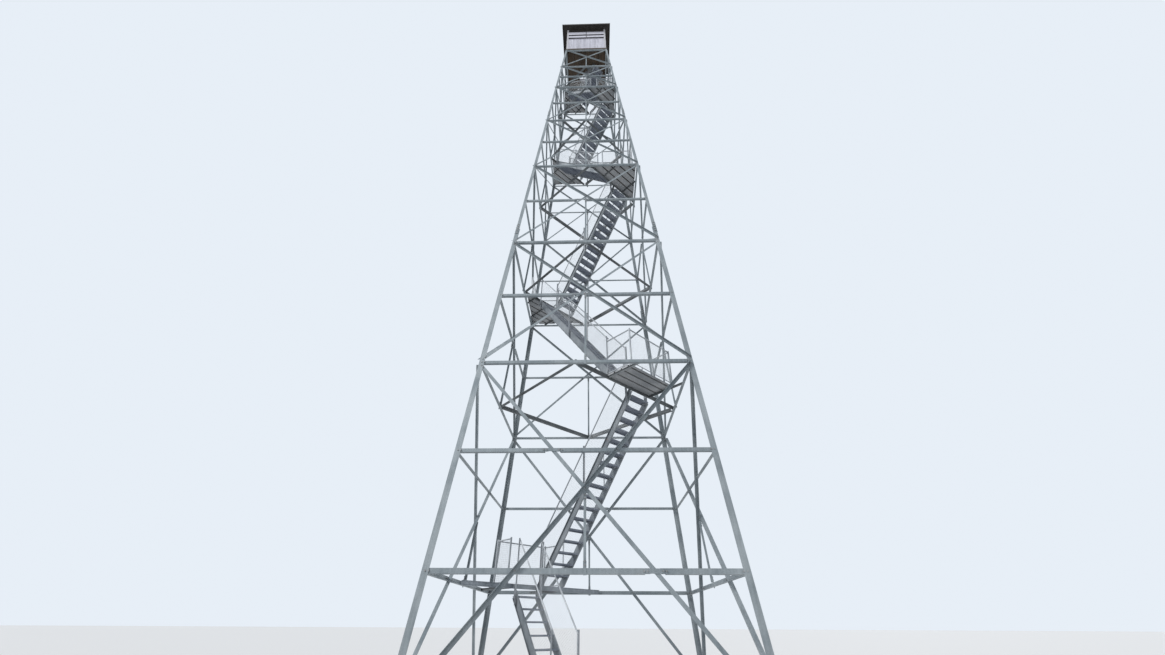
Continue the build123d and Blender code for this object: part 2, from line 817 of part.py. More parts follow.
flights = [Flight(number) for number in range(1, flight_count + 1)]
save("stair_stringers", [flight.stringer(side) for flight in flights for side in (-1, 1)])
save("handrail_posts", [piece for flight in flights for piece in flight.rail_posts()])
save("handrails", [piece for flight in flights for piece in flight.rails()])
for flight in flights:
    save(f"flight_{flight.number}_treads", flight.treads())

rims, joists, trimmers = cab_frame()
save("cab_rim_joists", rims)
save("cab_joists", joists)
save("hatch_trimmers", [trimmers])
save("cab_floor", [cab_floor()])
for name, parts in cab_side([cab_wall()]).items():
    save(f"cab_wall_{name}", parts)
save("cab_sills", [part for parts in cab_side([cab_sill()]).values() for part in parts])
save("window_boards", [part for parts in cab_side(cab_boards()).values() for part in parts])
save("window_mullions", [part for parts in cab_side([cab_mullion()]).values() for part in parts])
save("cab_corner_posts", cab_posts())
save("cab_headers", [part for parts in cab_side([cab_header()]).values() for part in parts])
save("cab_ceiling", [ceiling()])
save("roof_fascia", [fascia()])
save("cab_roof", [roof()])
save("roof_cap", [roof_cap()])
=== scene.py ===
# %% [markdown]
# # A steel fire lookout tower
# The tower's solids come in as a fixed frame, one object for each named piece: legs, struts, braces,
# decks, treads, rails and the parts of the cab. This lesson dresses them. Steel gets its weathered zinc,
# timber gets its boards, and the small things that a bare solid lacks, such as bolts and wire mesh, are
# added.

# %% Load the frame and keep its box
import random
from math import ceil, cos, hypot, radians, sin

import bmesh
import bpy
from mathutils import Matrix, Vector


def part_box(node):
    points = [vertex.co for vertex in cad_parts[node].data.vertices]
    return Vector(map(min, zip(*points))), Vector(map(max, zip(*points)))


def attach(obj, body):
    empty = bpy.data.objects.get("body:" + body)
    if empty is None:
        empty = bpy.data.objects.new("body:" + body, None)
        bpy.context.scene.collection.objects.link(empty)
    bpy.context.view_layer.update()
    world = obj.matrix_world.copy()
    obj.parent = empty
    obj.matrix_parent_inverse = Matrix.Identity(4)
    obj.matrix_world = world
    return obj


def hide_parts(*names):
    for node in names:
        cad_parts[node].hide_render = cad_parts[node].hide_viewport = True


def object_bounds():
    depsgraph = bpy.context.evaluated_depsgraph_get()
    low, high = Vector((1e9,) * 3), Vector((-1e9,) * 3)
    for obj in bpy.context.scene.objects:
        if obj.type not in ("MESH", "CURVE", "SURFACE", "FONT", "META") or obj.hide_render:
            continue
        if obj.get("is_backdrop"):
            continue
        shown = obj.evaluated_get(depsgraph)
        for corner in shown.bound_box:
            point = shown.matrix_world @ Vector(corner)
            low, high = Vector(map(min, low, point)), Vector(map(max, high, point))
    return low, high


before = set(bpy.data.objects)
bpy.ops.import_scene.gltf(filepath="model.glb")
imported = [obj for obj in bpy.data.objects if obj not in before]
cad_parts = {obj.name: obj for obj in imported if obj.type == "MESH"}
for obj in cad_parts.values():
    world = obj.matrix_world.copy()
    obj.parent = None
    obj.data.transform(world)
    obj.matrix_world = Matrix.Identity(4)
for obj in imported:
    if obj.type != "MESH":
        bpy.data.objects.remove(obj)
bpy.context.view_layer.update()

# %% [markdown]
# ## The camera
# The picture was taken from close in front of the tower, a little right of its middle, with a very wide
# lens tilted up by 35 degrees. The place and the tilt below were solved from the level struts and the
# leaning legs. The camera's axes are built by hand from yaw, pitch and roll, because that keeps each turn
# readable.

# %% Camera at the picture's place and angle
eye = Vector((0.20, -11.38, 1.396))
yaw, pitch, roll = radians(-1.761), radians(34.931), radians(0.316)
lens_mm, sensor_mm, far_clip = 13.27, 36.0, 2000.0


def turned(x_way, y_way, z_way):
    """The turn that lays the three axes along three directions."""
    return Matrix((x_way, y_way, z_way)).transposed().to_4x4()


forward = Vector((sin(yaw) * cos(pitch), cos(yaw) * cos(pitch), sin(pitch)))
level_right = Vector((cos(yaw), -sin(yaw), 0.0))
level_up = level_right.cross(forward)
right = cos(roll) * level_right + sin(roll) * level_up
up = cos(roll) * level_up - sin(roll) * level_right

camera = bpy.data.objects.new("camera", bpy.data.cameras.new("camera"))
camera.data.lens = lens_mm
camera.data.sensor_width = sensor_mm
camera.data.clip_end = far_clip
camera.matrix_world = Matrix.Translation(eye) @ turned(right, up, -forward)
bpy.context.scene.collection.objects.link(camera)
bpy.context.scene.camera = camera
bpy.context.scene.view_settings.view_transform = "Standard"
print("camera looks along", tuple(round(part, 3) for part in forward))

# %% [markdown]
# ## Two soft suns
# A lattice this tall needs light that is the same at its feet and at its cab, so the lamps are two suns
# with a wide, soft disc: a key from the front left, and a weaker one from behind on the right, which
# draws bright edges on the bars.

# %% Key sun and rim sun
def sun(name, azimuth, elevation, strength, disc):
    """A soft sun that shines from azimuth (0 is in front, 90 on the right) and elevation, in degrees."""
    lamp = bpy.data.objects.new(name, bpy.data.lights.new(name, "SUN"))
    lamp.data.energy = strength
    lamp.data.angle = radians(disc)
    a, e = radians(azimuth), radians(elevation)
    towards = Vector((sin(a) * cos(e), -cos(a) * cos(e), sin(e)))
    lamp.rotation_euler = towards.to_track_quat("Z", "Y").to_euler()
    bpy.context.scene.collection.objects.link(lamp)
    print(name, "shines from", azimuth, "degrees")


sun("key_sun", azimuth=304, elevation=38, strength=2.0, disc=12)
sun("rim_sun", azimuth=148, elevation=34, strength=1.1, disc=20)

# %% [markdown]
# ## The world
# The world fills the shadows with weak, even light. Where the camera or a reflection looks past the tower
# it sees a pale backdrop instead, and that view is kept apart from the light that the world gives: a
# Light Path node tells the rays apart, and a Mix Shader hands each kind its own background.

# %% World light and backdrop
fill_colour, fill_strength = (0.93, 0.96, 1.0, 1.0), 0.42
backdrop_colour = (0.80, 0.86, 0.93, 1.0)

world = bpy.data.worlds.new("studio")
world.use_nodes = True
bpy.context.scene.world = world
nodes, links = world.node_tree.nodes, world.node_tree.links


def either(first, second):
    """1 where one of two yes-or-no outputs is 1."""
    node = nodes.new("ShaderNodeMath")
    node.operation = "MAXIMUM"
    links.new(first, node.inputs[0])
    links.new(second, node.inputs[1])
    return node.outputs[0]


light = nodes["Background"]
light.inputs["Color"].default_value = fill_colour
light.inputs["Strength"].default_value = fill_strength
backdrop = nodes.new("ShaderNodeBackground")
backdrop.inputs["Color"].default_value = backdrop_colour
ray = nodes.new("ShaderNodeLightPath").outputs
seen = either(either(ray["Is Camera Ray"], ray["Is Glossy Ray"]), ray["Is Transmission Ray"])
mix = nodes.new("ShaderNodeMixShader")
links.new(seen, mix.inputs[0])
links.new(light.outputs[0], mix.inputs[1])
links.new(backdrop.outputs[0], mix.inputs[2])
links.new(mix.outputs[0], nodes["World Output"].inputs["Surface"])
print("world light at", fill_strength)

# %% [markdown]
# ## The floor
# The tower stands on a plain, pale floor that reaches to the horizon. It lies 2 mm low, so that it never
# shares a plane with the undersides of the foot plates.

# %% Floor
floor_half, floor_drop = 900.0, 0.002
floor_colour, floor_roughness = (0.72, 0.73, 0.74, 1.0), 0.9
bm = bmesh.new()
bmesh.ops.create_grid(bm, x_segments=1, y_segments=1, size=floor_half)
floor_mesh = bpy.data.meshes.new("floor")
bm.to_mesh(floor_mesh)
bm.free()
floor = bpy.data.objects.new("floor", floor_mesh)
floor.location.z = -floor_drop
bpy.context.scene.collection.objects.link(floor)
floor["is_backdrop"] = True
plain = bpy.data.materials.new("plain_floor")
plain.use_nodes = True
plain_shader = plain.node_tree.nodes["Principled BSDF"]
plain_shader.inputs["Base Color"].default_value = floor_colour
plain_shader.inputs["Roughness"].default_value = floor_roughness
floor_mesh.materials.append(plain)
print("a floor of", 2 * floor_half, "m")

# %% [markdown]
# ## Patterns from nodes
# Every finish here is a few layers of noise over a base colour, read in Object coordinates, so a pattern
# stays put on the steel from every side and comes out at its real scale in metres. A small class keeps
# the node calls short: each call adds a few nodes and hands back an output.

# %% Patterns on Object coordinates
class Patterns:
    """A new material's nodes, and the patterns that they make from Object coordinates."""

    def __init__(self, name):
        self.material = bpy.data.materials.new(name)
        self.material.use_nodes = True
        self.nodes, self.links = self.material.node_tree.nodes, self.material.node_tree.links
        self.place = self.nodes.new("ShaderNodeTexCoord").outputs["Object"]

    def stretched(self, scale):
        """Object coordinates multiplied by a scale, which is one number or one for each axis."""
        mapping = self.nodes.new("ShaderNodeMapping")
        mapping.inputs["Scale"].default_value = scale if isinstance(scale, tuple) else (scale,) * 3
        self.links.new(self.place, mapping.inputs["Vector"])
        return mapping.outputs["Vector"]

    def noise(self, scale, detail=4.0, rough=0.55):
        """Noise with blobs of 1/scale metres; scale is one number or one for each axis."""
        node = self.nodes.new("ShaderNodeTexNoise")
        node.inputs["Detail"].default_value = detail
        node.inputs["Roughness"].default_value = rough
        node.inputs["Scale"].default_value = 1.0
        self.links.new(self.stretched(scale), node.inputs["Vector"])
        return node.outputs["Fac"]

    def cells(self, scale):
        """A random grey for each cell of 1/scale metres."""
        node = self.nodes.new("ShaderNodeTexVoronoi")
        node.inputs["Scale"].default_value = 1.0
        self.links.new(self.stretched(scale), node.inputs["Vector"])
        grey = self.nodes.new("ShaderNodeRGBToBW")
        self.links.new(node.outputs["Color"], grey.inputs[0])
        return grey.outputs[0]

    def axis_part(self, vector, axis):
        """One coordinate, X, Y or Z, of a vector."""
        parts = self.nodes.new("ShaderNodeSeparateXYZ")
        self.links.new(vector, parts.inputs[0])
        return parts.outputs[axis]

    def maths(self, operation, value, second=None):
        """One sum on an output, with a fixed number as its second value where it needs one."""
        node = self.nodes.new("ShaderNodeMath")
        node.operation = operation
        self.links.new(value, node.inputs[0])
        if second is not None:
            node.inputs[1].default_value = second
        return node.outputs[0]


print("pattern helpers ready")

# %% [markdown]
# ## From patterns to a finish
# A pattern is only a grey value at each point. A ramp turns it into colours, a mix lays one colour over
# another or multiplies them, and a bump bends the light as if the surface rose and fell. A ramp and a mix
# hand back an output, so the steps of a finish read like a recipe. A Mix node has sockets for every kind
# of data, and the numbers below pick the ones for colours.

# %% A helper for layered finishes
mix_share, mix_first, mix_second, mix_result = 0, 6, 7, 2


class Finish(Patterns):
    """A material under construction: its patterns and the shader that they feed."""

    def __init__(self, name, roughness, metallic=0.0):
        super().__init__(name)
        self.shader = self.nodes["Principled BSDF"]
        self.shader.inputs["Roughness"].default_value = roughness
        self.shader.inputs["Metallic"].default_value = metallic

    def ramp(self, source, *stops):
        """Colours at places between 0 and 1; a single number is a grey."""
        node = self.nodes.new("ShaderNodeValToRGB")
        node.color_ramp.elements.remove(node.color_ramp.elements[1])
        for count, (place, colour) in enumerate(stops):
            stop = node.color_ramp.elements[0] if count == 0 else node.color_ramp.elements.new(place)
            stop.position = place
            stop.color = (*colour, 1.0) if isinstance(colour, tuple) else (colour, colour, colour, 1.0)
        self.links.new(source, node.inputs[0])
        return node.outputs["Color"]

    def mix(self, share, first, second, kind="MIX"):
        """Blend two colours; each is an output or a fixed colour, and share is an output or a number."""
        node = self.nodes.new("ShaderNodeMix")
        node.data_type = "RGBA"
        node.blend_type = kind
        for number, value in ((mix_share, share), (mix_first, first), (mix_second, second)):
            if isinstance(value, bpy.types.NodeSocket):
                self.links.new(value, node.inputs[number])
            else:
                node.inputs[number].default_value = (*value, 1.0) if isinstance(value, tuple) else value
        return node.outputs[mix_result]

    def bump(self, height, depth, strength=1.0):
        """Raise the surface by up to depth metres where height is 1, on top of an earlier bump."""
        node = self.nodes.new("ShaderNodeBump")
        node.inputs["Distance"].default_value = depth
        node.inputs["Strength"].default_value = strength
        self.links.new(height, node.inputs["Height"])
        if self.shader.inputs["Normal"].links:
            self.links.new(self.shader.inputs["Normal"].links[0].from_socket, node.inputs["Normal"])
        self.links.new(node.outputs[0], self.shader.inputs["Normal"])

    def done(self, colour, rough=None):
        """Join the colour, and a roughness that varies, to the shader."""
        self.links.new(colour, self.shader.inputs["Base Color"])
        if rough is not None:
            self.links.new(rough, self.shader.inputs["Roughness"])
        return self.material


print("finish helper ready")

# %% [markdown]
# ## Weathered zinc
# The bars are hot-dip galvanised angles that have stood outside for decades. Fresh zinc has bright
# crystals; old zinc is matt and blue-grey, with cloudy patches, faint streaks where water runs down, and
# thin rust at cut edges and bolts. Cloud, crystal, streak and rust are four patterns of very different
# size. The legs, the bars, the stairs and the rails share the recipe with their own colours and their own
# share of rust. The stringers and treads are darker than the bars, and the level bracing and the bearers
# and beams under the decks are the darkest: this is painted shade, since all of them are seen from below.
# The treads' blue tint is painted sky light. The lowest beam is painted lighter again below 3 m, which is
# painted light on its side face.

# %% Galvanised steel in several shades
cloud_scale, crystal_scale, bloom_scale, pit_scale = 1.7, 70.0, 4.5, 140.0
streak_scale = (22.0, 22.0, 0.9)
bloom_depth, pit_depth = 0.0012, 0.0006
zinc_metallic, rust_brown = 0.35, (0.23, 0.10, 0.045)
# Lighter colours below this height stand for painted light on the lowest beam's side face.
lit_below_height, lit_below_dark, lit_below_light = 3.0, (0.31, 0.35, 0.39), (0.47, 0.51, 0.55)


def zinc(name, dark, light, rust, roughness=0.48, lit_below=False):
    """Weathered zinc between two colours; rust is its brown share, and the last switch paints light on it
    below a set height.
    """
    finish = Finish(name, roughness, metallic=zinc_metallic)
    cloud = finish.noise(cloud_scale, detail=5.0)
    colour = finish.ramp(cloud, (0.32, dark), (0.68, light))
    if lit_below:
        # Painted light: a lighter ramp for the steel below the set height.
        lit_low_colour = finish.ramp(cloud, (0.32, lit_below_dark), (0.68, lit_below_light))
        low_down = finish.maths("LESS_THAN", finish.axis_part(finish.place, "Z"), lit_below_height)
        colour = finish.mix(low_down, colour, lit_low_colour)
    crystals = finish.ramp(finish.cells(crystal_scale), (0.0, 0.88), (1.0, 1.06))
    colour = finish.mix(0.8, colour, crystals, "MULTIPLY")
    streaks = finish.ramp(finish.noise(streak_scale, detail=3.0), (0.35, 0.80), (0.6, 1.0))
    colour = finish.mix(0.7, colour, streaks, "MULTIPLY")
    bloom = finish.noise(bloom_scale, detail=9.0, rough=0.68)
    where = finish.ramp(bloom, (0.70 - rust, 0.0), (0.86 - rust * 0.6, 0.75))
    colour = finish.mix(where, colour, rust_brown)
    finish.bump(finish.noise(pit_scale, detail=3.0), pit_depth)
    finish.bump(bloom, bloom_depth, strength=0.6)
    return finish.done(colour, finish.ramp(cloud, (0.3, roughness + 0.16), (0.7, roughness - 0.06)))


leg_zinc = zinc("leg_zinc", (0.245, 0.285, 0.31), (0.385, 0.425, 0.445), rust=0.05)
bar_zinc = zinc("bar_zinc", (0.22, 0.26, 0.285), (0.355, 0.395, 0.415), rust=0.06)
# The underside zinc is near black: painted shade, as the bracing and bearers are seen from below.
shaded_under_zinc = zinc("shaded_under_zinc", (0.095, 0.106, 0.114), (0.19, 0.205, 0.215), rust=0.05, roughness=0.6)
# The beams under the decks are the darkest of all as painted shade, and lighter low down as painted light.
beam_zinc = zinc("beam_zinc", (0.075, 0.084, 0.09), (0.16, 0.172, 0.18), rust=0.05, roughness=0.6,
                 lit_below=True)
deck_zinc = zinc("deck_zinc", (0.26, 0.275, 0.29), (0.41, 0.42, 0.43), rust=0.08, roughness=0.55)
# The treads and stringers are darker than the bars as painted shade from below; the treads' blue tint is
# painted sky light.
tread_zinc = zinc("tread_zinc", (0.20, 0.225, 0.275), (0.33, 0.36, 0.415), rust=0.07, roughness=0.55)
stair_zinc = zinc("stair_zinc", (0.19, 0.215, 0.24), (0.31, 0.335, 0.355), rust=0.08)
rail_zinc = zinc("rail_zinc", (0.33, 0.36, 0.39), (0.50, 0.525, 0.55), rust=0.06, roughness=0.42)
bolt_zinc = zinc("bolt_zinc", (0.25, 0.25, 0.25), (0.42, 0.43, 0.44), rust=0.18)
wire_zinc = zinc("wire_zinc", (0.58, 0.61, 0.63), (0.76, 0.78, 0.80), rust=0.05)
print("ten shades of zinc")

# %% [markdown]
# ## Painted and bare timber
# The cab's boards carry thin, faded paint: the grain still lifts it, and each board has weathered on its
# own. So the grain is a noise drawn out along the board, and the tone of a board comes from a number
# stored on its faces, which the mesh code sets when it makes the board.

# %% Timber finishes
grain_along, grain_across, shade_along, shade_across = 1.6, 48.0, 0.9, 9.0
wear_scale, grain_depth, bare_wood = 3.0, 0.0015, (0.20, 0.15, 0.115)
along_x, along_y, along_z = 0, 1, 2


def timber(name, dark, light, grain_axis, worn):
    """Timber or painted timber with its grain along one axis, and worn as the share of bare wood."""
    finish = Finish(name, roughness=0.75)
    fine = tuple(grain_along if axis == grain_axis else grain_across for axis in range(3))
    wide = tuple(shade_along if axis == grain_axis else shade_across for axis in range(3))
    grain = finish.noise(fine, detail=6.0, rough=0.6)
    colour = finish.ramp(grain, (0.33, dark), (0.66, light))
    shade = finish.ramp(finish.noise(wide), (0.3, 0.78), (0.7, 1.05))
    colour = finish.mix(0.85, colour, shade, "MULTIPLY")
    tone = finish.nodes.new("ShaderNodeAttribute")
    tone.attribute_name = "tone"
    board = finish.ramp(tone.outputs["Fac"], (0.0, 0.78), (1.0, 1.08))
    colour = finish.mix(0.9, colour, board, "MULTIPLY")
    wear = finish.noise(wear_scale, detail=10.0, rough=0.7)
    bare = finish.ramp(wear, (0.66 - worn, 0.0), (0.74 - worn * 0.6, 0.8))
    colour = finish.mix(bare, colour, bare_wood)
    finish.bump(grain, grain_depth)
    return finish.done(colour)


wall_paint = timber("wall_paint", (0.60, 0.60, 0.70), (0.83, 0.83, 0.92), along_z, worn=0.04)
board_paint = timber("board_paint", (0.56, 0.56, 0.64), (0.77, 0.77, 0.86), along_x, worn=0.05)
side_paint = timber("side_paint", (0.56, 0.56, 0.64), (0.77, 0.77, 0.86), along_y, worn=0.05)
post_paint = timber("post_paint", (0.61, 0.61, 0.66), (0.80, 0.80, 0.84), along_z, worn=0.06)
joist_wood = timber("joist_wood", (0.050, 0.036, 0.026), (0.130, 0.098, 0.074), along_x, worn=0.05)
# The eave finish is near black: dark trim, with the shade under the eaves painted into it.
eave_trim_and_shade = timber("eave_trim_and_shade", (0.016, 0.014, 0.013), (0.046, 0.039, 0.034), along_y, worn=0.04)
print("six timber finishes")

# %% [markdown]
# ## Reading the solids
# Bolts, wire and pipes have to land exactly on the solids. The safest way is to ask the solids
# themselves. The longest edge of a bar runs along it, so it gives the bar's direction, and the reach of
# the bar's corner points along any direction gives its ends, its edges or its faces.

# %% One solid and its directions
upward = Vector((0, 0, 1))
level_slope = 0.0001


class Bar:
    """One solid of a node: its corner points and the direction of its longest edge."""

    def __init__(self, verts):
        self.points = [vert.co.copy() for vert in verts]
        edges = {edge for vert in verts for edge in vert.link_edges}
        longest = max(edges, key=lambda edge: (round(edge.calc_length(), 5), -edge.index))
        self.axis = (longest.verts[1].co - longest.verts[0].co).normalized()
        if self.axis.z < -level_slope or (abs(self.axis.z) < level_slope and self.axis.x < 0):
            self.axis = -self.axis

    def span(self, direction):
        """Lowest and highest reach of the solid along a direction."""
        reach = [point.dot(direction) for point in self.points]
        return min(reach), max(reach)

    def middle(self):
        """Middle of the solid's corner points."""
        return sum(self.points, Vector()) / len(self.points)

    def ends(self):
        """Middle of the solid's section at its two ends."""
        across = self.axis.orthogonal().normalized()
        other = self.axis.cross(across)
        centre = across * (sum(self.span(across)) / 2) + other * (sum(self.span(other)) / 2)
        low, high = self.span(self.axis)
        return centre + self.axis * low, centre + self.axis * high


print("bars are read from their corner points")

# %% [markdown]
# ## Taking a node apart
# A node holds many solids. Its mesh is copied into a bmesh, the doubles are merged and the flat faces
# joined, and then every loose part is one real piece of steel or timber. The first one that is read, a
# leg, gives how much the legs lean and where they stand.

# %% Find the separate solids of a node
merge_room, flat_turn = 0.00001, radians(0.5)


def merged(name):
    """A bmesh copy of a node with its doubles merged and its flat faces whole again."""
    copy = bmesh.new()
    copy.from_mesh(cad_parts[name].data)
    bmesh.ops.remove_doubles(copy, verts=copy.verts, dist=merge_room)
    bmesh.ops.dissolve_limit(copy, angle_limit=flat_turn, verts=copy.verts, edges=copy.edges)
    copy.verts.index_update()
    copy.edges.index_update()
    return copy


def loose_parts(bm):
    """The connected groups of a bmesh's vertices, in order."""
    found, groups = set(), []
    for first in bm.verts:
        if first.index in found:
            continue
        found.add(first.index)
        group = [first]
        for vert in group:
            for edge in vert.link_edges:
                other = edge.other_vert(vert)
                if other.index not in found:
                    found.add(other.index)
                    group.append(other)
        groups.append(group)
    return groups


def bars_of(name):
    """Every solid of a node as a Bar."""
    copy = merged(name)
    found = [Bar(group) for group in loose_parts(copy)]
    copy.free()
    return found


leg_bar = bars_of("leg_front_left")[0]
lean = leg_bar.axis.x / leg_bar.axis.z
leg_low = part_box("leg_front_left")[0]
base_half = lean * leg_low.z - leg_low.x
print("the legs lean by", round(lean, 4), "and stand", round(base_half, 3), "m from the axis")

# %% [markdown]
# ## Helpers that make steel
# Rods and blocks are all that most fittings need: a rod with six sides is a bolt's head, and one with
# sixteen is a pipe. Each helper adds to a bmesh that is given to it, so hundreds of bolts become one
# object.

# %% Rods and blocks
def rod(bm, start, end, radius, sides=6, end_radius=None):
    """A straight rod between two points, with few sides; end_radius lets it narrow."""
    run = end - start
    place = Matrix.Translation((start + end) / 2) @ run.to_track_quat("Z", "Y").to_matrix().to_4x4()
    last_radius = radius if end_radius is None else end_radius
    bmesh.ops.create_cone(bm, cap_ends=True, segments=sides, radius1=radius, radius2=last_radius,
                          depth=run.length, matrix=place)


def block(bm, low, high, place=Matrix.Identity(4)):
    """A block between two corners, moved by place."""
    middle, size = (Vector(low) + Vector(high)) / 2, Vector(high) - Vector(low)
    matrix = place @ Matrix.Translation(middle) @ Matrix.Diagonal((*size, 1.0))
    return bmesh.ops.create_cube(bm, size=1.0, matrix=matrix)["verts"]


def bevelled(bm, width):
    """Take the sharpness off every edge."""
    bmesh.ops.bevel(bm, geom=list(bm.edges), offset=width, offset_type="OFFSET", segments=1,
                    profile=0.5, affect="EDGES", clamp_overlap=True, material=-1)


def rounded(bm):
    """Smooth the sides of rods and keep their ends sharp."""
    for face in bm.faces:
        face.smooth = len(face.verts) == 4
        if len(face.verts) > 4:
            for edge in face.edges:
                edge.smooth = False


print("rods and blocks ready")

# %% [markdown]
# ## From a bmesh to a piece of the tower
# A finished bmesh becomes an object that rides on the tower, with one material. Where it stands for a
# solid, that solid is hidden. A solid that is right as it is only changes its material.

# %% Pieces and coats
sides = {"front": 0, "right": 90, "back": 180, "left": 270}


def piece(bm, name, material, stands_for=()):
    """Make a bmesh into a piece of the tower."""
    mesh = bpy.data.meshes.new(name)
    bm.to_mesh(mesh)
    bm.free()
    made = bpy.data.objects.new(name, mesh)
    bpy.context.scene.collection.objects.link(made)
    mesh.materials.append(material)
    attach(made, "root")
    if stands_for:
        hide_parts(*stands_for)
    print(name, len(mesh.polygons), "faces")


def coat(names, material):
    """Give CAD nodes their finish."""
    for name in names:
        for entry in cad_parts[name].material_slots:
            entry.material = material
    print(material.name, "on", len(names), "nodes")


print("sides and their turns in degrees:", sides)

# %% [markdown]
# ## Zinc on the solids
# Legs, struts, braces, plates, beams, decks and stairs are right as they are: an angle bar is an angle
# bar. They only change their material. The nodes' meshes are never touched.

# %% Coat the steel nodes
flights = range(1, 9)
coat([f"leg_{end}_{hand}" for end in ("front", "back") for hand in ("left", "right")], leg_zinc)
coat(["foot_plates", "splice_plates"], leg_zinc)
coat([f"{side}_{kind}" for side in sides for kind in ("struts", "braces", "plates")], bar_zinc)
# Level bracing and bearers take the underside zinc with its painted shade.
coat(["plan_bracing", "landing_bearers"], shaded_under_zinc)
coat(["landing_beams"], beam_zinc)
coat(["landing_decks"], deck_zinc)
coat([f"flight_{number}_treads" for number in flights], tread_zinc)
coat(["stair_stringers"], stair_zinc)
coat(["handrail_posts"], rail_zinc)

# %% [markdown]
# ## Painted shade in the plank grooves
# The decks are pressed steel planks with deep grooves between them. Seen from below, the grooves lie in
# shade and read as dark lines. The grooves are already in the solids. A thin dark strip of painted shade
# is laid on the ceiling of each groove, and its place is read from the lowest points of the deck, which
# lie in
# rows across the corner: the first and last rows are the deck's edges, and each pair between them is a
# groove.

# %% Painted shade in the deck grooves
strip_t, strip_in, strip_end, groove_h = 0.004, 0.0005, 0.001, 0.032
same_level, same_row = 0.001, 0.002
groove_mottle_scale, groove_bump_scale, groove_bump_depth = 9.0, 60.0, 0.002


def corner_way(point):
    """Level direction from the tower's axis to a point's corner, which is front right or back left."""
    return Vector((1, -1, 0)).normalized() * (1 if point.x > point.y else -1)


def painted_groove_shade(name, dark, light):
    """A dark, mottled strip of painted shade for a groove's ceiling."""
    finish = Finish(name, roughness=0.95)
    finish.bump(finish.noise(groove_bump_scale), groove_bump_depth)
    mottle = finish.noise(groove_mottle_scale, detail=6.0, rough=0.65)
    return finish.done(finish.ramp(mottle, (0.35, dark), (0.7, light)))


# Near-black strips: painted shade on the ceilings of the grooves.
groove_shade = painted_groove_shade("groove_shade", (0.018, 0.015, 0.012), (0.075, 0.058, 0.045))
bm = bmesh.new()
for deck in bars_of("landing_decks"):
    outward = corner_way(deck.middle())
    along = Vector((-outward.y, outward.x, 0))
    turn = turned(outward, along, upward)
    lowest = deck.span(upward)[0]
    corners = [point for point in deck.points if point.z < lowest + same_level]
    rows = sorted({round(point.dot(outward), 3) for point in corners})
    for near, far in zip(rows[1:-1:2], rows[2:-1:2]):
        reach = [abs(point.dot(along)) for point in corners if abs(point.dot(outward) - far) < same_row]
        half = max(reach) - strip_end
        top = lowest + groove_h
        block(bm, (near, -half, top - strip_t), (far, half, top + strip_in), turn)
piece(bm, "deck_groove_shade", groove_shade)

# %% [markdown]
# ## The flat drawing of a side
# A lattice tower is bolted, not welded, and from close by the bolts are what gives it scale. A side of
# the tower is flat, so the bolts are placed in its own drawing: x across, y up the slope, z outwards. A
# matrix carries the drawing to the tower, and its inverse brings a bar's points into the drawing.

# %% A side's drawing and one bolt in it
bolt_r, head_h, thread_r, thread_h = 0.0155, 0.011, 0.008, 0.012
bar_t, leg_t = 0.0064, 0.0095


def side_frame(side):
    """The matrix that carries a side's flat drawing to the tower."""
    rise, out = Vector((0, lean, 1)).normalized(), Vector((0, -1, lean)).normalized()
    flat = Matrix(((1, 0, 0, 0), (0, rise.y, out.y, -base_half), (0, rise.z, out.z, 0), (0, 0, 0, 1)))
    return Matrix.Rotation(radians(sides[side]), 4, "Z") @ flat


def through_bolt(bm, place, x, y, head_z, nut_z):
    """Head, nut and thread end of one bolt at a point of a side's drawing."""
    depths = (head_z, head_z + head_h, nut_z, nut_z - head_h, nut_z - head_h - thread_h)
    spots = [place @ Vector((x, y, z)) for z in depths]
    rod(bm, spots[0], spots[1], bolt_r)
    rod(bm, spots[2], spots[3], bolt_r)
    rod(bm, spots[3], spots[4], thread_r)


def flat_line(bar, drawing):
    """Ends of a bar's middle line in a side's drawing, and whether the bar lies outside the legs."""
    points = [drawing @ point for point in bar.points]
    along = (drawing.to_3x3() @ bar.axis).normalized()
    along = Vector((along.x, along.y, 0)).normalized()
    across = Vector((-along.y, along.x, 0))
    reach = [point.dot(along) for point in points]
    aside = [point.dot(across) for point in points]
    middle = across * ((min(aside) + max(aside)) / 2)
    outside = max(point.z for point in points) > leg_t
    return middle + along * min(reach), middle + along * max(reach), outside


print("a bolt's head is", round(2 * bolt_r * 1000), "mm wide")

# %% [markdown]
# ## Bolts on the sides
# Each bar end has two bolts, or one on a short bar. The crossing of two braces has one, and so has each
# place where a brace passes a strut. A bar that lies outside the legs has its head further out, and one
# inside has its nut further in.

# %% Through bolts of each side
end_room, bolt_pitch, short_bar, level_room = 0.042, 0.062, 0.45, 0.01


def crossings_of(start, end, lines):
    """The points on an outer brace where it meets its partner on the middle line, and level bars."""
    slant = (end.x - start.x) / (end.y - start.y)
    heights = [start.y - start.x / slant]
    for first, last, _ in lines:
        x = start.x + (first.y - start.y) * slant
        is_level = abs(first.y - last.y) < level_room
        is_within = start.y + short_bar < first.y < end.y - short_bar
        if is_level and is_within and min(first.x, last.x) < x < max(first.x, last.x):
            heights.append(first.y)
    return [(start.x + (y - start.y) * slant, y) for y in heights]


